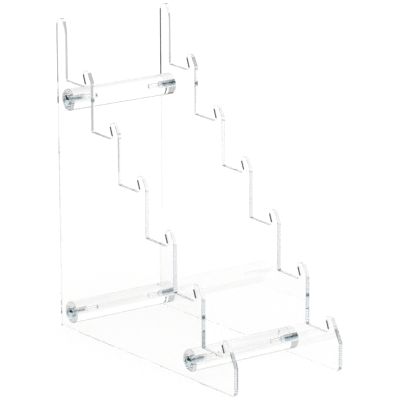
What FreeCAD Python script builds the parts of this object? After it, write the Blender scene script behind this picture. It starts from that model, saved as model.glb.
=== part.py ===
import FreeCAD, Part
import math
import os
from FreeCAD import Vector

# Clear eyeglasses display stand: two stepped side panels of sheet acrylic, tied together by
# three round acrylic rods, with one screw through each panel into each end of each rod.
# Frame: millimetres, +Z up, the front towards -Y, X across the stand.
# The origin is on the surface it stands on, under the middle of the stand.

# Side panel
SHEET = 4.0                  # thickness
DEPTH = 262.0                # back edge to front edge
HEIGHT = 287.0               # base to the tip of the rear fin
HEEL_RADIUS = 1.5            # bottom corner at the back
TOE_RADIUS = 5.0             # bottom corner at the front
EDGE_ROUND = 0.3             # polished roll along both rims of the cut edge

# Rear fin, the tall narrow horn above the top seat
FIN_DEPTH = 14.2
FIN_TIP_FRONT = 9.5          # where the flat of the tip would end, from the back edge
FIN_SLOPE_DROP = 11.0        # tip down to where the sloped front turns vertical
FIN_REAR_RADIUS = 6.0
FIN_FRONT_RADIUS = 3.5
FIN_SLOPE_RADIUS = 20.0

# Tiers, counted from the top
TIERS = 6
FIRST_RISER = 53.4           # back edge to the front of the first tier
TIER_RUN = 40.6              # from one riser to the next
TOP_FLOOR = 231.6            # height of the first seat, at its back corner
TIER_RISE = 39.8             # from one seat down to the next
LAST_FLOOR = 33.0            # height of the sixth seat, at its back corner
FLOOR_TILT = 1.5             # degrees that a seat falls towards its lip
SEAT_RADIUS = 1.5            # fillet at the back corner of a seat

# Lip, the finger in front of each seat: it leans back, and its front slopes down to the riser
LIP_HEIGHT = 15.0            # tip above the back corner of the seat
LIP_TIP_DROP = 0.4           # fall of the tip's flat from back to front
LIP_TIP = 9.1                # length of that flat before its corners are rounded
LIP_LEAN = 6.2               # how far the tip stands behind the lip's root
LIP_BACK_RADIUS = 4.0
LIP_FRONT_RADIUS = 4.5
LIP_ROOT_RADIUS = 2.4
LIP_ROOT = 8.5               # riser back to the lip's root, on the upper five tiers
LIP_TOE_RISE = 4.6           # where the sloped front meets the riser, above the seat
LIP_TOE_RADIUS = 8.0
FRONT_LIP_ROOT = 14.7        # the same three on the front tier, whose slope is longer
FRONT_LIP_TOE_RISE = -6.8
FRONT_LIP_TOE_RADIUS = 3.0

# Cross rods
PANEL_GAP = 110.0            # clear width between the panels, and the rods' length
ROD_DIAMETER = 20.0
ROD_CHAMFER = 0.4
RODS = {                     # distance of the axis from the back edge, and its height
    "top": (15.0, 214.0),
    "rear": (15.0, 15.5),
    "front": (196.0, 16.0),
}

# Machine screws, M4 truss head with a cross recess
SCREW_RADIUS = 2.0           # over the thread's crests
SCREW_PITCH = 0.7
SCREW_LENGTH = 16.0          # under the head
SCREW_POINT = 0.6            # length of the chamfered end
THREAD_DEPTH = 0.43
THREAD_ANGLE = 60.0
HEAD_DIAMETER = 9.4
HEAD_HEIGHT = 2.8
HEAD_RIM = 0.5               # straight edge of the head, under its dome
RECESS_SPAN = 4.6            # across the wings of the cross
RECESS_WIDTH = 1.0
RECESS_DEPTH = 1.9
RECESS_CORE = 1.3            # radius of the cross's cone at the mouth
RECESS_FLOOR = 0.55          # radius of that cone at the bottom
WING_TAPER = 0.6             # how much nearer to the axis a wing ends at the bottom

# Holes for the screws
PANEL_HOLE = 4.5
HOLE_CHAMFER = 0.3
BORE_DEPTH = 26.5            # blind hole in a rod's end, up to the start of the drill's cone
DRILL_ANGLE = 118.0
TAPPED_DEPTH = 15.0          # depth of the last thread in that hole
THREAD_PLAY = 0.08           # radial gap between the two threads

OUTER_FACE = PANEL_GAP / 2 + SHEET
THREAD_FLANK = THREAD_DEPTH * math.tan(math.radians(THREAD_ANGLE / 2))    # its run along the axis
SIDES = {"left": -1, "right": 1}
X_AXIS = Vector(1, 0, 0)
FLAT = 1e-6                  # an edge with less X extent than this lies in a YZ plane


def back_edge_to_y(distance):
    """Row Y of a point that lies this far in front of the panels' back edge."""
    return DEPTH / 2 - distance


def rounded_outline(corners):
    """Closed wire in a YZ plane around (distance from back edge, height, radius) corners."""
    points = [Vector(0, back_edge_to_y(distance), height) for distance, height, radius in corners]
    arcs = []
    for i, corner in enumerate(points):
        radius = corners[i][2]
        to_before = (points[i - 1] - corner).normalize()
        to_after = (points[(i + 1) % len(points)] - corner).normalize()
        half_angle = to_before.getAngle(to_after) / 2
        setback = radius / math.tan(half_angle)
        bisector = (to_before + to_after).normalize()
        middle = corner + bisector * (radius / math.sin(half_angle) - radius)
        arcs.append((corner + to_before * setback, middle, corner + to_after * setback))
    edges = []
    for before, arc in zip([arcs[-1]] + arcs, arcs):
        edges.append(Part.LineSegment(before[2], arc[0]).toShape())
        edges.append(Part.Arc(*arc).toShape())
    return Part.Wire(edges)


def tier_riser(tier):
    """Distance from the back edge to the riser at the front of a tier."""
    return DEPTH if tier == TIERS - 1 else FIRST_RISER + TIER_RUN * tier


def tier_floor(tier):
    """Height of a seat at its back corner."""
    return LAST_FLOOR if tier == TIERS - 1 else TOP_FLOOR - TIER_RISE * tier


def tier_corners(tier):
    """The seat's back corner, then the four corners of the lip in front of it."""
    is_front = tier == TIERS - 1
    root_back = FRONT_LIP_ROOT if is_front else LIP_ROOT
    toe_rise = FRONT_LIP_TOE_RISE if is_front else LIP_TOE_RISE
    toe_radius = FRONT_LIP_TOE_RADIUS if is_front else LIP_TOE_RADIUS
    start = FIN_DEPTH if tier == 0 else tier_riser(tier - 1)
    riser, floor = tier_riser(tier), tier_floor(tier)
    root = riser - root_back
    fall = (root - start) * math.tan(math.radians(FLOOR_TILT))
    tip = root - LIP_LEAN
    return [
        (start, floor, SEAT_RADIUS),
        (root, floor - fall, LIP_ROOT_RADIUS),
        (tip, floor + LIP_HEIGHT, LIP_BACK_RADIUS),
        (tip + LIP_TIP, floor + LIP_HEIGHT - LIP_TIP_DROP, LIP_FRONT_RADIUS),
        (riser, floor + toe_rise, toe_radius),
    ]


def panel_corners():
    """Every corner of the side panel, up the back edge, over the fin and down the tiers."""
    corners = [
        (0.0, 0.0, HEEL_RADIUS),
        (0.0, HEIGHT, FIN_REAR_RADIUS),
        (FIN_TIP_FRONT, HEIGHT, FIN_FRONT_RADIUS),
        (FIN_DEPTH, HEIGHT - FIN_SLOPE_DROP, FIN_SLOPE_RADIUS),
    ]
    for tier in range(TIERS):
        corners += tier_corners(tier)
    corners.append((DEPTH, 0.0, TOE_RADIUS))
    return corners


def panel():
    """Side panel, the same for both sides, between X = 0 and X = SHEET."""
    blank = Part.Face(rounded_outline(panel_corners())).extrude(X_AXIS * SHEET)
    rims = [edge for edge in blank.Edges if edge.BoundBox.XLength < FLAT]
    blank = blank.makeFillet(EDGE_ROUND, rims)
    for distance, height in RODS.values():
        centre = Vector(0, back_edge_to_y(distance), height)
        blank = blank.cut(Part.makeCylinder(PANEL_HOLE / 2, SHEET, centre, X_AXIS))
        mouth = PANEL_HOLE / 2 + HOLE_CHAMFER
        blank = blank.cut(Part.makeCone(PANEL_HOLE / 2, mouth, HOLE_CHAMFER,
                                        centre + X_AXIS * (SHEET - HOLE_CHAMFER), X_AXIS))
        blank = blank.cut(Part.makeCone(mouth, PANEL_HOLE / 2, HOLE_CHAMFER, centre, X_AXIS))
    return blank


def thread_rings(first, last, crest_radius):
    """Points (along, radius) of ring grooves; a crest sits on every whole pitch in the span."""
    half_crest = SCREW_PITCH / 16
    root = crest_radius - THREAD_DEPTH
    points = []
    for turn in range(math.ceil(first / SCREW_PITCH), math.floor(last / SCREW_PITCH) + 1):
        middle = turn * SCREW_PITCH
        points += [(middle - half_crest - THREAD_FLANK, root), (middle - half_crest, crest_radius),
                   (middle + half_crest, crest_radius), (middle + half_crest + THREAD_FLANK, root)]
    return points


def turned(points):
    """Solid of revolution about X from (along, radius) points, closed along the axis."""
    ring = [(points[0][0], 0.0)] + points + [(points[-1][0], 0.0)]
    corners = [Vector(along, 0, radius) for along, radius in ring]
    if corners[-1] == corners[-2]:
        corners.pop()
    return Part.Face(Part.makePolygon(corners + [corners[0]])).revolve(Vector(0, 0, 0), X_AXIS, 360)


def tapped_bore():
    """The space of a rod's blind tapped hole, in the frame of the screw that goes into it."""
    crest = SCREW_RADIUS + THREAD_PLAY
    drill = crest - THREAD_DEPTH
    lead_in = SHEET + HOLE_CHAMFER
    bottom = SHEET + BORE_DEPTH
    cone = drill / math.tan(math.radians(DRILL_ANGLE / 2))
    mouth = [(SHEET, crest + HOLE_CHAMFER), (lead_in, crest), (lead_in + THREAD_FLANK, drill)]
    rings = thread_rings(SHEET + SCREW_PITCH, SHEET + TAPPED_DEPTH, crest)
    return turned(mouth + rings + [(bottom, drill), (bottom + cone, 0.0)])


def rod(distance, height):
    """Cross rod with a tapped blind hole in each end."""
    start = Vector(-PANEL_GAP / 2, back_edge_to_y(distance), height)
    body = Part.makeCylinder(ROD_DIAMETER / 2, PANEL_GAP, start, X_AXIS)
    end_rims = [edge for edge in body.Edges if edge.BoundBox.XLength < FLAT]
    body = body.makeChamfer(ROD_CHAMFER, end_rims)
    for side in SIDES.values():
        body = body.cut(at_panel(tapped_bore(), distance, height, side))
    return body


def recess():
    """Cross recess: two crossed tapered blades around a cone, open at the top of the head."""
    above, floor = -HEAD_HEIGHT - 1.0, RECESS_DEPTH - HEAD_HEIGHT
    depth = floor - above
    core_growth = (RECESS_CORE - RECESS_FLOOR) / RECESS_DEPTH * depth
    cross = Part.makeCone(RECESS_FLOOR, RECESS_FLOOR + core_growth, depth, Vector(floor, 0, 0), -X_AXIS)
    deep_reach = RECESS_SPAN / 2 - WING_TAPER
    high_reach = deep_reach + WING_TAPER / RECESS_DEPTH * depth
    side = -RECESS_WIDTH / 2
    for angle in (0, 90):
        corners = [Vector(above, side, high_reach), Vector(floor, side, deep_reach),
                   Vector(floor, side, -deep_reach), Vector(above, side, -high_reach)]
        blade = Part.Face(Part.makePolygon(corners + [corners[0]])).extrude(Vector(0, RECESS_WIDTH, 0))
        blade.rotate(Vector(0, 0, 0), X_AXIS, angle)
        cross = cross.fuse(blade)
    return cross


def screw_head():
    """Truss head, its underside on X = 0: a straight rim under a shallow dome."""
    rim = HEAD_DIAMETER / 2
    dome = HEAD_HEIGHT - HEAD_RIM
    dome_radius = (rim ** 2 + dome ** 2) / (2 * dome)
    sag = dome_radius - math.sqrt(dome_radius ** 2 - (rim / 2) ** 2)
    apex = Vector(-HEAD_HEIGHT, 0, 0)
    corners = [apex, Vector(0, 0, 0), Vector(0, 0, rim), Vector(-HEAD_RIM, 0, rim)]
    crown = Part.Arc(corners[-1], Vector(sag - HEAD_HEIGHT, 0, rim / 2), apex)
    sides = [Part.LineSegment(a, b).toShape() for a, b in zip(corners, corners[1:])]
    half_section = Part.Face(Part.Wire(sides + [crown.toShape()]))
    return half_section.revolve(Vector(0, 0, 0), X_AXIS, 360)


def screw():
    """Screw with the underside of its head on X = 0 and its threaded shank along +X."""
    core = SCREW_RADIUS - THREAD_DEPTH
    rings = thread_rings(SCREW_PITCH, SCREW_LENGTH - SCREW_POINT, SCREW_RADIUS)
    shank = turned([(-HEAD_RIM, core)] + rings + [(SCREW_LENGTH - SCREW_POINT / 2, core),
                                                  (SCREW_LENGTH, core - SCREW_POINT / 2)])
    return screw_head().fuse(shank).cut(recess())


def at_panel(shape, distance, height, side):
    """Move a screw from its own frame to a panel's outer face; side is -1 left, +1 right."""
    placed = shape.copy()
    if side > 0:
        placed.rotate(Vector(0, 0, 0), Vector(0, 0, 1), 180)
    placed.translate(Vector(side * OUTER_FACE, back_edge_to_y(distance), height))
    return placed


def save(name, shape):
    shape.exportStep("parts/" + name + ".step")
    box = shape.BoundBox
    print("%-20s valid %s volume %.1f X %.2f..%.2f Y %.2f..%.2f Z %.2f..%.2f" % (
        name, shape.isValid(), shape.Volume, box.XMin, box.XMax, box.YMin, box.YMax, box.ZMin, box.ZMax))


os.makedirs("parts", exist_ok=True)
for side_name, side in SIDES.items():
    side_panel = panel()
    inner_face = PANEL_GAP / 2 if side > 0 else -OUTER_FACE
    side_panel.translate(X_AXIS * inner_face)
    save(side_name + "_panel", side_panel)
for rod_name, place in RODS.items():
    save(rod_name + "_rod", rod(*place))
    for side_name, side in SIDES.items():
        save(rod_name + "_" + side_name + "_screw", at_panel(screw(), *place, side))
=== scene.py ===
import math

import bmesh
import bpy
from mathutils import Matrix, Vector
from mathutils.geometry import tessellate_polygon


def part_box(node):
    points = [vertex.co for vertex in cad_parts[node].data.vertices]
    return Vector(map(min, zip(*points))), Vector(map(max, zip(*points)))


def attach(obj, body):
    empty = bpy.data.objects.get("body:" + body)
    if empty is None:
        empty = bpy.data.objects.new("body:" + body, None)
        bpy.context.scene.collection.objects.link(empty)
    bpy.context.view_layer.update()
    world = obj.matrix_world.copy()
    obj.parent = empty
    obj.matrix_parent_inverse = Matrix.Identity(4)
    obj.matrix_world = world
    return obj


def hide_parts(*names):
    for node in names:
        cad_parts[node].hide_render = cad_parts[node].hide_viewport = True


# Clear acrylic eyeglasses display stand: two stepped side panels, three rods and six screws.
# The scene is in metres, +Z up, front towards -Y, X across the stand. The pieces' own sizes
# are in millimetres, and MM turns them into metres when a mesh is made.
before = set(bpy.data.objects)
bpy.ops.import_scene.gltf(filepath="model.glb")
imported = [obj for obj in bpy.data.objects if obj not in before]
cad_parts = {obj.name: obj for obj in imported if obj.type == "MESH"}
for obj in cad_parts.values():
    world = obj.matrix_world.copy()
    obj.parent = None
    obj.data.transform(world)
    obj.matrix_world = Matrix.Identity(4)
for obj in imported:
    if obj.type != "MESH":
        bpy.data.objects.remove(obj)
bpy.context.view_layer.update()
MM = 0.001

# ---------------------------------------------------------------- places taken from the frame
left_low, left_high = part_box("left_panel")
right_low, right_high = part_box("right_panel")
INNER = right_low.x                       # inner face of the right panel, from the middle
OUTER = right_high.x
BACK = right_high.y                       # back edge of both panels
DEPTH = right_high.y - right_low.y
HEIGHT = right_high.z
RODS = ("top", "rear", "front")


def rod_axis(name):
    """(y, z) of a rod's axis and the rod's radius, in metres."""
    low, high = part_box(name + "_rod")
    return (low.y + high.y) / 2, (low.z + high.z) / 2, (high.z - low.z) / 2


# ---------------------------------------------------------------- side panel outline, millimetres
HEEL_RADIUS = 1.5                         # bottom corner at the back
TOE_RADIUS = 5.0                          # bottom corner at the front
FIN_DEPTH = 14.2
FIN_TIP_FRONT = 9.5                       # where the flat of the fin's tip would end
FIN_SLOPE_DROP = 11.0                     # tip down to where its sloped front turns vertical
FIN_REAR_RADIUS = 6.0
FIN_FRONT_RADIUS = 3.5
FIN_SLOPE_RADIUS = 20.0
TIERS = 6
FIRST_RISER = 53.4
TIER_RUN = 40.6
TOP_FLOOR = 231.6
TIER_RISE = 39.8
LAST_FLOOR = 33.0
FLOOR_TILT = math.radians(1.5)
SEAT_RADIUS = 1.5
LIP_HEIGHT = 15.0
LIP_LEAN = 6.2
LIP_TIP = 9.1
LIP_TIP_DROP = 0.4
LIP_ROOT_RADIUS = 2.4
LIP_BACK_RADIUS = 4.0
LIP_FRONT_RADIUS = 4.5
UPPER_LIP = (8.5, 4.6, 8.0)               # root behind the riser, toe above the seat, toe radius
FRONT_LIP = (14.7, -6.8, 3.0)
EDGE_ROUND = 0.3
HOLE_RADIUS = 2.25
HOLE_CHAMFER = 0.3
ARC_STEP = math.radians(4)
HOLE_STEPS = 64


def tier_corners(tier):
    """Back corner of a seat, then the four corners of its lip: (from back edge, height, radius)."""
    is_front = tier == TIERS - 1
    root_back, toe_rise, toe_radius = FRONT_LIP if is_front else UPPER_LIP
    start = FIN_DEPTH if tier == 0 else FIRST_RISER + TIER_RUN * (tier - 1)
    riser = DEPTH / MM if is_front else FIRST_RISER + TIER_RUN * tier
    floor = LAST_FLOOR if is_front else TOP_FLOOR - TIER_RISE * tier
    root = riser - root_back
    tip = root - LIP_LEAN
    return [
        (start, floor, SEAT_RADIUS),
        (root, floor - (root - start) * math.tan(FLOOR_TILT), LIP_ROOT_RADIUS),
        (tip, floor + LIP_HEIGHT, LIP_BACK_RADIUS),
        (tip + LIP_TIP, floor + LIP_HEIGHT - LIP_TIP_DROP, LIP_FRONT_RADIUS),
        (riser, floor + toe_rise, toe_radius),
    ]


def panel_corners():
    """All corners of a panel, from its heel up the back, over the fin and down the tiers."""
    height = HEIGHT / MM
    corners = [
        (0.0, 0.0, HEEL_RADIUS),
        (0.0, height, FIN_REAR_RADIUS),
        (FIN_TIP_FRONT, height, FIN_FRONT_RADIUS),
        (FIN_DEPTH, height - FIN_SLOPE_DROP, FIN_SLOPE_RADIUS),
    ]
    for tier in range(TIERS):
        corners += tier_corners(tier)
    return corners + [(DEPTH / MM, 0.0, TOE_RADIUS)]


def rounded(corners):
    """Points and outward normals round a closed outline whose corners are arcs."""
    spots = [Vector((BACK / MM - d, z)) for d, z, radius in corners]
    area = sum(a.x * b.y - b.x * a.y for a, b in zip(spots, spots[1:] + spots[:1]))
    turn = 1 if area > 0 else -1
    loop = []
    for i, corner in enumerate(spots):
        radius = corners[i][2]
        to_before = (spots[i - 1] - corner).normalized()
        to_after = (spots[(i + 1) % len(spots)] - corner).normalized()
        half = to_before.angle(to_after) / 2
        centre = corner + (to_before + to_after).normalized() * (radius / math.sin(half))
        start = corner + to_before * (radius / math.tan(half)) - centre
        sweep = math.pi - 2 * half
        is_convex = turn * (to_before.x * to_after.y - to_before.y * to_after.x) < 0
        sign = turn if is_convex else -turn
        steps = max(3, math.ceil(sweep / ARC_STEP))
        for k in range(steps + 1):
            arm = Matrix.Rotation(sign * sweep * k / steps, 2) @ start
            normal = arm.normalized() if is_convex else -arm.normalized()
            loop.append((centre + arm, normal))
    return loop


def circle_point(radius, step, count):
    """One of count even points round a circle, from its first axis."""
    angle = 2 * math.pi * step / count
    return radius * math.cos(angle), radius * math.sin(angle)


def hole_loop(y, z, radius):
    """Points and normals round a hole; the normals point into the hole, away from the material."""
    loop = []
    for k in range(HOLE_STEPS):
        across, up = circle_point(radius, k, HOLE_STEPS)
        loop.append((Vector((y + across, z + up)), -Vector(circle_point(1.0, k, HOLE_STEPS))))
    return loop


# ---------------------------------------------------------------- mesh helpers
def add_object(name, data):
    """A new object in the scene."""
    added = bpy.data.objects.new(name, data)
    bpy.context.scene.collection.objects.link(added)
    return added


def make_object(name, vertices, faces):
    """A smooth-shaded mesh object."""
    mesh = bpy.data.meshes.new(name)
    mesh.from_pydata([tuple(v) for v in vertices], [], faces)
    mesh.validate(clean_customdata=False)
    mesh.shade_smooth()
    return add_object(name, mesh)


def grid_faces(rows, columns, offset=0):
    """Quads of a grid whose rows are closed rings of the same number of columns."""
    return [(offset + r * columns + c, offset + r * columns + (c + 1) % columns,
             offset + (r + 1) * columns + (c + 1) % columns, offset + (r + 1) * columns + c)
            for r in range(rows - 1) for c in range(columns)]


def face_outwards(piece):
    """Turn every face of a closed mesh outwards."""
    work = bmesh.new()
    work.from_mesh(piece.data)
    bmesh.ops.recalc_face_normals(work, faces=work.faces)
    work.to_mesh(piece.data)
    work.free()


def apply_modifiers(piece):
    """Put the result of a piece's modifiers in its mesh."""
    bpy.context.view_layer.update()
    evaluated = piece.evaluated_get(bpy.context.evaluated_depsgraph_get())
    mesh = bpy.data.meshes.new_from_object(evaluated)
    piece.modifiers.clear()
    piece.data = mesh


def face_weighted(piece, angle):
    """Smooth shading that keeps edges over the angle sharp and large flats flat."""
    piece.data.shade_smooth()
    piece.data.set_sharp_from_angle(angle=angle)
    weigh = piece.modifiers.new("weigh", "WEIGHTED_NORMAL")
    weigh.keep_sharp = True
    weigh.weight = 100
    apply_modifiers(piece)


def boolean(piece, other, operation):
    """Join the other object to the piece or cut it away, and remove the other object."""
    step = piece.modifiers.new("boolean", "BOOLEAN")
    step.operation = operation
    step.solver = "EXACT"
    step.object = other
    apply_modifiers(piece)
    bpy.data.objects.remove(other)


# ---------------------------------------------------------------- side panels
RIM_STEPS = 4


def rim_rings(loop, inner, outer, round_mm):
    """Rings of (points, normals) round the cut edge, with both of its rims rolled."""
    rings = []
    for face, direction in ((inner, 1), (outer, -1)):
        part = []
        for k in range(RIM_STEPS + 1):
            angle = math.pi / 2 * k / RIM_STEPS
            inset = round_mm * (1 - math.sin(angle))
            x = face + direction * round_mm * (1 - math.cos(angle))
            points = [(x, *(p - n * inset)) for p, n in loop]
            normals = [(-direction * math.cos(angle), *(n * math.sin(angle))) for p, n in loop]
            part.append((points, normals))
        rings += part if direction > 0 else part[::-1]
    return rings


def build_panel(name, inner, outer):
    """One side panel; inner and outer are the lower and higher X of its faces, in millimetres."""
    loops = [(rounded(panel_corners()), EDGE_ROUND)]
    for rod in RODS:
        y, z = rod_axis(rod)[:2]
        loops.append((hole_loop(y / MM, z / MM, HOLE_RADIUS), HOLE_CHAMFER))
    vertices, normals, faces, first_rings, last_rings = [], [], [], [], []
    for loop, round_mm in loops:
        rings = rim_rings(loop, inner, outer, round_mm)
        start = len(vertices)
        for points, ring_normals in rings:
            vertices += points
            normals += ring_normals
        faces += grid_faces(len(rings), len(loop), start)
        first_rings.append(range(start, start + len(loop)))
        last_rings.append(range(len(vertices) - len(loop), len(vertices)))
    for rings in (first_rings, last_rings):
        index = [i for ring in rings for i in ring]
        flat = [[Vector((vertices[i][1], vertices[i][2])) for i in ring] for ring in rings]
        faces += [tuple(index[i] for i in triangle) for triangle in tessellate_polygon(flat)]
    piece = make_object(name, [Vector(v) * MM for v in vertices], faces)
    face_outwards(piece)
    piece.data.shade_smooth()
    piece.data.normals_split_custom_set_from_vertices(normals)
    return piece


# ---------------------------------------------------------------- turned pieces and threads
THREAD_PITCH = 0.7
THREAD_DEPTH = 0.43
THREAD_ROOT = 0.17                         # flat root and flank, as shares of half a pitch
THREAD_FLANK = 0.7
THREAD_SLICES = 12                         # rings per pitch
SEGMENTS = 96


def thread_height(phase):
    """Share of the thread's depth at a phase of its pitch: crest at 0 and 1, root at 0.5."""
    distance = abs((phase % 1.0) - 0.5) * 2
    return min(1.0, max(0.0, (distance - THREAD_ROOT) / THREAD_FLANK))


def helix(start, end, core, fade):
    """Rings (along, radii) of a helical thread that fades in and out over the given length."""
    rings = []
    count = round((end - start) / THREAD_PITCH * THREAD_SLICES)
    for k in range(count + 1):
        along = start + (end - start) * k / count
        strength = max(0.0, min(1.0, (along - start) / fade, (end - along) / fade))
        radii = [core + THREAD_DEPTH * strength * thread_height(along / THREAD_PITCH - s / SEGMENTS)
                 for s in range(SEGMENTS)]
        rings.append((along, radii))
    return rings


def arc_profile(centre, radius, start, end, steps):
    """Points (along, radius) on an arc, angles in degrees from +X."""
    points = []
    for k in range(steps + 1):
        angle = math.radians(start + (end - start) * k / steps)
        points.append((centre[0] + radius * math.cos(angle), centre[1] + radius * math.sin(angle)))
    return points


def turned(name, rings, first, last):
    """Closed solid about X: first and last are its end points on the axis, rings lie between.

    A ring is (along, radius), or (along, radii) with one radius per segment.
    """
    vertices = [(first, 0.0, 0.0)]
    for along, radii in rings:
        radii = radii if isinstance(radii, list) else [radii] * SEGMENTS
        vertices += [(along, *circle_point(r, s, SEGMENTS)) for s, r in enumerate(radii)]
    vertices.append((last, 0.0, 0.0))
    end = len(vertices) - 1
    faces = grid_faces(len(rings), SEGMENTS, 1)
    for s in range(SEGMENTS):
        faces.append((0, 1 + (s + 1) % SEGMENTS, 1 + s))
        faces.append((end, end - SEGMENTS + s, end - SEGMENTS + (s + 1) % SEGMENTS))
    piece = make_object(name, [Vector(v) * MM for v in vertices], faces)
    face_outwards(piece)
    return piece


# ---------------------------------------------------------------- rods
ROD_END_GAP = 0.03                         # air film between a rod's end and the panel
ROD_ROUND = 0.4
ROD_ROUND_STEPS = 6
ROD_END_INSET = 0.05                       # from the rolled rim to the last ring of the flat end
ROD_CREASE = math.radians(25)
BORE_CORE = 1.65
BORE_DEPTH = 26.5
BORE_TIP = BORE_DEPTH + 1.0
BORE_MOUTH = ((0.0, 2.4), (0.32, 2.08))    # its chamfer: (depth, radius)
TAPPED_START = 0.36
TAPPED_END = 15.3
TAPPED_FADE = 0.2


def build_rod(name, rod):
    """A rod with a tapped blind hole in each end."""
    y, z, radius = rod_axis(rod)
    half = INNER / MM - ROD_END_GAP
    flat_radius = radius / MM - ROD_ROUND
    thread = helix(TAPPED_START, TAPPED_END, BORE_CORE, TAPPED_FADE)
    bore = [(BORE_DEPTH, BORE_CORE), *thread[::-1], *BORE_MOUTH[::-1]]
    rim = [(ROD_ROUND - a, r)
           for a, r in arc_profile((0.0, flat_radius), ROD_ROUND, 0, 90, ROD_ROUND_STEPS)]
    side = bore + [(0.0, flat_radius - ROD_END_INSET)] + rim
    rings = [(a - half, r) for a, r in side] + [(half - a, r) for a, r in side[::-1]]
    piece = turned(name, rings, BORE_TIP - half, half - BORE_TIP)
    face_weighted(piece, ROD_CREASE)
    piece.data.transform(Matrix.Translation((0, y, z)))
    return piece


# ---------------------------------------------------------------- screws
HEAD_RADIUS = 4.7
HEAD_HEIGHT = 2.8
HEAD_RIM = 0.5
HEAD_GAP = 0.02                            # air film under the head
HEAD_BEVEL = 0.06
HEAD_BEVEL_ANGLE = math.radians(40)
CROWN_STEPS = 14
CROWN_STOP = 1.5                           # degrees between the dome's last ring and its rim
BRIM_TOP = ((0.06, 0.015), (0.14, 0.0))    # rings under the dome: (distance from it, inset)
BRIM_BOTTOM = ((-0.12, 0.0), (-0.04, 0.03), (0.0, 0.12))    # rings at the underside: (X, inset)
UNDERSIDE_RING = 1.0                       # last ring under the head, out from the thread's core
RECESS_SPAN = 4.6
RECESS_WIDTH = 1.0
RECESS_DEPTH = 1.9
CUTTER_RISE = 1.0                          # how far the cutter stands above the head
CUTTER_CONE = (0.35, 0.75, 1.75)           # depth of its point, radii at the floor and on top
WING_TAPER = (-0.65, 0.35)                 # added to a wing's reach at the floor and on top
WING_DRAFT = 0.08                          # taken from its half width at the floor, added on top
SCREW_LENGTH = 16.0
SCREW_CORE = 1.57
SCREW_POINT = 0.3                          # length of the chamfered end
SCREW_POINT_TAPER = 0.35
SCREW_THREAD_START = 0.1
SCREW_FADE = 0.8
SCREW_CREASE = math.radians(32)
SHANK_OVERLAP = 0.3                        # how far the shank reaches into the head
SCREW_SIDES = (("left", -1, 0.0, 0.35), ("right", 1, math.pi, 1.1))    # side, X sign, Z turn, recess angle
RECESS_TURN = 7                            # added to that angle, in radians per metre of depth


def build_recess():
    """Cutter for the cross recess: a cone with four tapered wings that reaches out of the head."""
    floor, top = RECESS_DEPTH - HEAD_HEIGHT, -HEAD_HEIGHT - CUTTER_RISE
    point, floor_radius, top_radius = CUTTER_CONE
    cutter = turned("cutter", [(floor, floor_radius), (top, top_radius)], floor + point, top)
    square = ((-1, -1), (1, -1), (1, 1), (-1, 1))
    sides = [(0, 1, 5, 4), (1, 2, 6, 5), (2, 3, 7, 6), (3, 0, 4, 7)]
    for turn in range(2):
        corners = []
        for x, taper, draft in ((floor, WING_TAPER[0], -WING_DRAFT), (top, WING_TAPER[1], WING_DRAFT)):
            across, reach = RECESS_WIDTH / 2 + draft, RECESS_SPAN / 2 + taper
            corners += [Vector((x, y * across, z * reach)) * MM for y, z in square]
        blade = make_object("blade", corners, [(0, 3, 2, 1), (4, 5, 6, 7), *sides])
        blade.data.transform(Matrix.Rotation(math.pi / 2 * turn, 4, "X"))
        face_outwards(blade)
        boolean(cutter, blade, "UNION")
    return cutter


def head_profile():
    """(along, radius) down the dome, round the brim and in under the head."""
    dome = HEAD_HEIGHT - HEAD_RIM
    ball = (HEAD_RADIUS ** 2 + dome ** 2) / (2 * dome)
    slope = math.degrees(math.asin(HEAD_RADIUS / ball))
    crown = arc_profile((ball - HEAD_HEIGHT, 0.0), ball, 180 - slope / CROWN_STEPS,
                        180 - slope + CROWN_STOP, CROWN_STEPS)
    brim = [(below - HEAD_RIM, HEAD_RADIUS - inset) for below, inset in BRIM_TOP]
    brim += [(along, HEAD_RADIUS - inset) for along, inset in BRIM_BOTTOM]
    return crown + brim + [(0.0, SCREW_CORE + UNDERSIDE_RING)]


def build_screw(name):
    """Truss head screw with a helical thread; the underside of its head is on X = 0."""
    screw = turned(name, head_profile(), -HEAD_HEIGHT, 0.0)
    boolean(screw, build_recess(), "DIFFERENCE")
    bevel = screw.modifiers.new("bevel", "BEVEL")
    bevel.width = HEAD_BEVEL * MM
    bevel.segments = 2
    bevel.limit_method = "ANGLE"
    bevel.angle_limit = HEAD_BEVEL_ANGLE
    apply_modifiers(screw)
    thread = helix(SCREW_THREAD_START, SCREW_LENGTH - SCREW_POINT, SCREW_CORE, SCREW_FADE)
    shank = [(-SHANK_OVERLAP, SCREW_CORE), *thread, (SCREW_LENGTH, SCREW_CORE - SCREW_POINT_TAPER)]
    boolean(screw, turned("shank", shank, -SHANK_OVERLAP, SCREW_LENGTH), "UNION")
    face_weighted(screw, SCREW_CREASE)
    return screw


# ---------------------------------------------------------------- materials
WHITE = (1.0, 1.0, 1.0, 1.0)
ACRYLIC_IOR = 1.49
ACRYLIC_TINT = (0.10, 0.22, 0.34, 1.0)     # long paths through the acrylic darken towards this
ACRYLIC_COLOUR = (0.97, 0.97, 0.965, 1.0)
SHEET_DENSITY = 1.3                        # per metre
ROD_DENSITY = 0.8
ZINC_SHADES = ((0.52, 0.66, 0.72, 1.0), (0.72, 0.79, 0.81, 1.0))
FINE = 0.00001                             # metres of bump for a height of 1 in the acrylic
ZINC_CLOUD = 0.00003                       # the same for the plate's two layers
ZINC_GRAIN = 0.000012
TOOL_FEED = 0.00025                        # between two turned rings
BORE_ZONE = (0.0024, 0.0028)               # from a rod's axis: inside its bore, outside it


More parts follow.
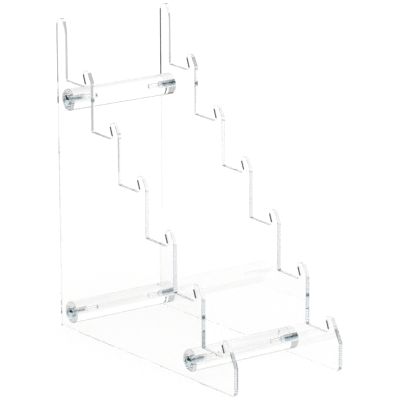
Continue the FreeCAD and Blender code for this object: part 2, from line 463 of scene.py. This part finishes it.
class Nodes:
    """A short way to add and link the nodes of one material or world."""

    def __init__(self, tree):
        self.tree = tree
        tree.nodes.clear()

    def add(self, kind, inputs=None, **settings):
        """A new node; an input is linked if its value is a socket, and set otherwise."""
        node = self.tree.nodes.new("ShaderNode" + kind)
        for key, value in settings.items():
            setattr(node, key, value)
        for key, value in (inputs or {}).items():
            if isinstance(value, bpy.types.NodeSocket):
                self.tree.links.new(value, node.inputs[key])
            else:
                node.inputs[key].default_value = value
        return node

    def noise(self, cells, detail=3.0, roughness=0.55):
        """Noise with the given number of cells per metre along X, Y and Z."""
        place = self.add("TexCoord").outputs["Object"]
        scaled = self.add("Mapping", {"Vector": place, "Scale": cells}).outputs["Vector"]
        node = self.add("TexNoise", {"Vector": scaled, "Scale": 1.0, "Detail": detail,
                                     "Roughness": roughness})
        return node.outputs["Fac"]

    def ramp(self, value, low, high, to_low, to_high):
        """to_low up to the value low, to_high from the value high on, smooth between."""
        node = self.add("MapRange", {"Value": value, "From Min": low, "From Max": high,
                                     "To Min": to_low, "To Max": to_high}, interpolation_type="SMOOTHSTEP")
        return node.outputs["Result"]

    def blend(self, factor, a, b):
        """a where the factor is 0, b where it is 1."""
        return self.add("Mix", {"Factor": factor, "A": a, "B": b}, data_type="FLOAT").outputs["Result"]

    def facing_x(self):
        """1 on surfaces square to the X axis, 0 on those along it."""
        normal = self.add("NewGeometry").outputs["True Normal"]
        return self.math("ABSOLUTE", self.add("SeparateXYZ", {0: normal}).outputs["X"])

    def math(self, operation, a, b=0.0):
        return self.add("Math", {0: a, 1: b}, operation=operation).outputs[0]

    def bump(self, height, distance, **under):
        """Normal of a surface raised by height times distance; Normal= is the one beneath."""
        return self.add("Bump", {"Height": height, "Distance": distance, "Strength": 1.0,
                                 **under}).outputs["Normal"]


def new_material(name):
    material = bpy.data.materials.new(name)
    material.use_nodes = True
    return material, Nodes(material.node_tree)


def clear_acrylic(nodes, roughness, height, density):
    """Clear PMMA: one closed volume, with the given roughness and fine relief on its surface."""
    principled = nodes.add("BsdfPrincipled", {
        "Base Color": ACRYLIC_COLOUR, "IOR": ACRYLIC_IOR, "Transmission Weight": 1.0,
        "Roughness": roughness, "Normal": nodes.bump(height, FINE)})
    absorption = nodes.add("VolumeAbsorption", {"Color": ACRYLIC_TINT, "Density": density})
    nodes.add("OutputMaterial", {"Surface": principled.outputs[0], "Volume": absorption.outputs[0]})


def acrylic_sheet():
    """Cast sheet. Its faces have faint ripple, wiped smears and hairlines, its cut edges fine ribs."""
    material, nodes = new_material("acrylic_sheet")
    edge = nodes.ramp(nodes.facing_x(), 0.2, 0.8, 1.0, 0.0)
    smear = nodes.ramp(nodes.noise((9.0, 14.0, 22.0)), 0.45, 0.75, 0.0, 0.012)
    hairline = nodes.ramp(nodes.noise((40.0, 90.0, 1900.0), 2.0), 0.66, 0.74, 0.0, 0.03)
    patch = nodes.ramp(nodes.noise((7.0, 11.0, 8.0)), 0.5, 0.7, 0.0, 1.0)
    face_roughness = nodes.math("ADD", smear, nodes.math("MULTIPLY", hairline, patch))
    ripple = nodes.math("MULTIPLY", nodes.noise((14.0, 14.0, 14.0), 2.0), 5.0)
    ribs = nodes.noise((60.0, 1500.0, 1500.0), 4.0, 0.6)
    edge_roughness = nodes.ramp(ribs, 0.35, 0.7, 0.003, 0.02)
    wave = nodes.math("MULTIPLY", nodes.noise((30.0, 160.0, 160.0), 2.0), 0.7)
    edge_height = nodes.math("ADD", wave, nodes.math("MULTIPLY", ribs, 0.01))
    clear_acrylic(nodes, nodes.blend(edge, face_roughness, edge_roughness),
                  nodes.blend(edge, ripple, edge_height), SHEET_DENSITY)
    return material


def acrylic_rod(diameter):
    """Drawn rod: faint lines and handling marks along it, turned rings on its ends and in its bores."""
    material, nodes = new_material("acrylic_rod")
    box_place = nodes.add("TexCoord").outputs["Generated"]
    radial = nodes.add("Mapping", {"Vector": box_place, "Location": (0.0, -0.5 * diameter, -0.5 * diameter),
                                   "Scale": (0.0, diameter, diameter)}).outputs["Vector"]
    radius = nodes.add("VectorMath", {0: radial}, operation="LENGTH").outputs["Value"]
    bore = nodes.ramp(radius, *BORE_ZONE, 1.0, 0.0)
    end = nodes.ramp(nodes.facing_x(), 0.85, 0.95, 0.0, 1.0)
    draw = nodes.ramp(nodes.noise((12.0, 900.0, 900.0)), 0.4, 0.8, 0.0, 0.03)
    mark = nodes.ramp(nodes.noise((160.0, 160.0, 160.0), 5.0), 0.64, 0.72, 0.0, 0.08)
    side_roughness = nodes.math("ADD", draw, mark)
    side_height = nodes.noise((10.0, 420.0, 420.0), 2.0)
    turned_rings = nodes.math("SINE", nodes.math("MULTIPLY", radius, 2 * math.pi / TOOL_FEED))
    end_roughness = nodes.ramp(turned_rings, -1.0, 1.0, 0.06, 0.12)
    drill_rings = nodes.noise((4500.0, 120.0, 120.0), 3.0)
    bore_roughness = nodes.ramp(drill_rings, 0.3, 0.7, 0.02, 0.06)
    roughness = nodes.blend(bore, nodes.blend(end, side_roughness, end_roughness), bore_roughness)
    height = nodes.blend(end, side_height, nodes.math("MULTIPLY", turned_rings, 0.02))
    height = nodes.blend(bore, height, nodes.math("MULTIPLY", drill_rings, 0.08))
    clear_acrylic(nodes, roughness, height, ROD_DENSITY)
    return material


def plated_steel():
    """Bright zinc plate over cold-headed steel: cool, slightly cloudy, with fine forming marks."""
    material, nodes = new_material("screw_steel")
    cloud = nodes.noise((420.0, 420.0, 420.0), 5.0, 0.6)
    grain = nodes.noise((5200.0, 5200.0, 5200.0), 3.0, 0.7)
    shade = nodes.ramp(cloud, 0.35, 0.65, 0.0, 1.0)
    colour = nodes.add("Mix", {"Factor": shade, "A": ZINC_SHADES[0], "B": ZINC_SHADES[1]},
                       data_type="RGBA").outputs["Result"]
    roughness = nodes.math("ADD", nodes.ramp(cloud, 0.35, 0.75, 0.04, 0.10),
                           nodes.ramp(grain, 0.5, 0.8, 0.0, 0.04))
    relief = nodes.bump(grain, ZINC_GRAIN, Normal=nodes.bump(cloud, ZINC_CLOUD))
    principled = nodes.add("BsdfPrincipled", {
        "Base Color": colour, "Metallic": 1.0, "Roughness": roughness, "Normal": relief})
    nodes.add("OutputMaterial", {"Surface": principled.outputs[0]})
    return material


# ---------------------------------------------------------------- the stand
sheet = acrylic_sheet()
rod_acrylic = acrylic_rod(2 * rod_axis("top")[2])
steel = plated_steel()

for side, low, high in (("left", left_low.x, left_high.x), ("right", right_low.x, right_high.x)):
    panel = build_panel(side + "_side_panel", low / MM, high / MM)
    panel.data.materials.append(sheet)
    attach(panel, "root")
    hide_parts(side + "_panel")

screw_shape = build_screw("screw_shape")
screw_shape.data.materials.append(steel)
for rod in RODS:
    cross_rod = build_rod(rod + "_cross_rod", rod)
    cross_rod.data.materials.append(rod_acrylic)
    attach(cross_rod, "root")
    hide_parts(rod + "_rod")
    y, z = rod_axis(rod)[:2]
    for side, sign, turn, twist in SCREW_SIDES:
        screw = add_object(f"{rod}_{side}_head_screw", screw_shape.data.copy())
        seat = Matrix.Translation((sign * (OUTER + HEAD_GAP * MM), y, z))
        recess_turn = Matrix.Rotation(twist + y * RECESS_TURN, 4, "X")
        screw.data.transform(seat @ Matrix.Rotation(turn, 4, "Z") @ recess_turn)
        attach(screw, "root")
        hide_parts(f"{rod}_{side}_screw")
bpy.data.objects.remove(screw_shape)

# ---------------------------------------------------------------- studio
FLOOR_RINGS = (0.0005, 0.3, 1.0, 2.5, 6.0)
FLOOR_STEPS = 96
FLOOR_DROP = 0.0002                        # air film under the panels
TABLE_GLOW = (0.94, 1.06)                  # at the front left and at the back right
TABLE_AWAY = (0.6, 0.8, 0.0)               # the direction in which it gets brighter
TABLE_ZONE = (0.2, 0.6)                    # and the distances between which it does
OPAL = (0.1, 0.1, 0.1, 1.0)
CARD_BLACK = (0.05, 0.025, 0.02, 1.0)      # what a black card sends back, a little warm
CARD_DARK = (0.45, 0.45, 0.45, 1.0)
CARD_GREY = (0.62, 0.62, 0.62, 1.0)
LOW_LIGHT = 1.15                           # the surround's strength at and below the horizon
FRONT_LIGHT = 1.0                          # above it at the front right
LEFT_LIGHT = 0.05                          # above it on the whole left
BACK_LIGHT = (1.35, 0.6)                   # above it at the back right, lower and higher
CEILING_LIGHT = 1.5                        # added round the top
LEFT_TO_RIGHT = (-0.15, 0.30)              # X of a direction, from the left zone to the right one
FRONT_TO_BACK = (-0.15, 0.20)              # Y of a direction, from the front zone to the back one
LOWER_TO_HIGHER = (0.45, 0.75)             # Z of a direction, between the two back lights
WALL_TO_CEILING = (0.86, 0.93)
HORIZON_FADE = 0.12                        # height over which the low light gives way
HORIZON_LIFT = 0.08                        # how much higher that starts on the right
VIEW_AZIMUTH = math.radians(-36.66)
VIEW_ELEVATION = math.radians(14.86)
VIEW_ROLL = math.radians(-0.24)
VIEW_TARGET = Vector((0.0336, 0.0414, 0.1224))
VIEW_DISTANCE = 2.65
SENSOR_WIDTH = 36.0
FOCAL_LENGTH = 265.0
LIGHT_BOUNCES = 64                         # a ray meets many acrylic faces on its way


def light_table():
    """The pale floor: an opal sheet lit from below, a little brighter behind the stand."""
    material, nodes = new_material("light_table")
    grain = nodes.noise((700.0, 700.0, 700.0), 4.0)
    place = nodes.add("TexCoord").outputs["Object"]
    away = nodes.add("VectorMath", {0: place, 1: TABLE_AWAY}, operation="DOT_PRODUCT").outputs["Value"]
    lamp = nodes.ramp(away, *TABLE_ZONE, *TABLE_GLOW)
    strength = nodes.math("ADD", lamp, nodes.ramp(grain, 0.3, 0.7, 0.0, 0.02))
    glow = nodes.add("Emission", {"Color": WHITE, "Strength": strength})
    opal = nodes.add("BsdfDiffuse", {"Color": OPAL})
    both = nodes.add("AddShader", {0: glow.outputs[0], 1: opal.outputs[0]})
    nodes.add("OutputMaterial", {"Surface": both.outputs[0]})
    return material


def build_floor():
    """Wide round floor just under the stand."""
    vertices = [(*circle_point(radius, k, FLOOR_STEPS), -FLOOR_DROP)
                for radius in FLOOR_RINGS for k in range(FLOOR_STEPS)]
    faces = [tuple(range(FLOOR_STEPS))] + grid_faces(len(FLOOR_RINGS), FLOOR_STEPS)
    floor = make_object("floor", vertices, faces)
    floor.data.materials.append(light_table())


def build_card(name, centre, along, width, colour):
    """Flat card at a centre, with its length along a vector; only glass and metal see it."""
    centre, along = Vector(centre), Vector(along) / 2
    outwards = Vector((centre.x, centre.y, 0.0)).normalized()
    across = Vector((-outwards.y, outwards.x, 0.0)) * (width / 2)
    start, end = centre - along, centre + along
    card = make_object(name, [start - across, start + across, end + across, end - across], [(0, 1, 2, 3)])
    material, nodes = new_material(name)
    glow = nodes.add("Emission", {"Color": colour, "Strength": 1.0})
    nodes.add("OutputMaterial", {"Surface": glow.outputs[0]})
    card.data.materials.append(material)
    card.visible_camera = False
    card.visible_diffuse = False
    card.visible_shadow = False


def build_world():
    """Surroundings: white up to the horizon, dim above it on the left, and a bright ceiling light."""
    world = bpy.data.worlds.new("studio")
    bpy.context.scene.world = world
    world.use_nodes = True
    nodes = Nodes(world.node_tree)
    direction = nodes.add("TexCoord").outputs["Generated"]
    across, depth, height = nodes.add("SeparateXYZ", {0: direction}).outputs
    back = nodes.blend(nodes.ramp(depth, *FRONT_TO_BACK, 0.0, 1.0), FRONT_LIGHT,
                       nodes.ramp(height, *LOWER_TO_HIGHER, *BACK_LIGHT))
    above = nodes.blend(nodes.ramp(across, *LEFT_TO_RIGHT, 0.0, 1.0), LEFT_LIGHT, back)
    horizon = nodes.ramp(across, *LEFT_TO_RIGHT, 0.0, HORIZON_LIFT)
    rise = nodes.ramp(nodes.math("SUBTRACT", height, horizon), 0.0, HORIZON_FADE, 0.0, 1.0)
    wall = nodes.blend(rise, LOW_LIGHT, above)
    light = nodes.math("ADD", wall, nodes.ramp(height, *WALL_TO_CEILING, 0.0, CEILING_LIGHT))
    background = nodes.add("Background", {"Color": WHITE, "Strength": light})
    nodes.add("OutputWorld", {"Surface": background.outputs[0]})


def build_camera():
    """Long lens from the front left, a little above the stand."""
    camera = add_object("camera", bpy.data.cameras.new("camera"))
    level = math.cos(VIEW_ELEVATION)
    back = Vector((math.sin(VIEW_AZIMUTH) * level, -math.cos(VIEW_AZIMUTH) * level,
                   math.sin(VIEW_ELEVATION)))
    camera.location = VIEW_TARGET + back * VIEW_DISTANCE
    camera.rotation_mode = "QUATERNION"
    roll = Matrix.Rotation(VIEW_ROLL, 3, back).to_quaternion()
    camera.rotation_quaternion = roll @ (-back).to_track_quat("-Z", "Y")
    camera.data.sensor_width = SENSOR_WIDTH
    camera.data.lens = FOCAL_LENGTH
    bpy.context.scene.camera = camera


build_floor()
# The cards put the dark lines and grey bands in the cut edges, and the mat darkens the screw heads.
build_card("dark_card", (0.476, -0.638, 0.71), (0.0, 0.0, 0.98), 0.44, CARD_BLACK)
build_card("dark_strip", (0.546, -0.541, 0.08), (0.0, 0.0, 0.12), 0.065, CARD_BLACK)
build_card("half_strip", (0.403, -0.559, 0.08), (0.0, 0.0, 0.12), 0.065, CARD_DARK)
build_card("grey_card", (-0.45, 0.55, 0.30), (0.0, 0.0, 0.60), 0.8, CARD_GREY)
build_card("dark_mat", (-0.36, -0.47, 0.001), (-0.49, -0.60, 0.0), 0.3, CARD_BLACK)
build_world()
build_camera()
scene = bpy.context.scene
scene.view_settings.view_transform = "Standard"
scene.cycles.max_bounces = LIGHT_BOUNCES
scene.cycles.glossy_bounces = LIGHT_BOUNCES
scene.cycles.transmission_bounces = LIGHT_BOUNCES
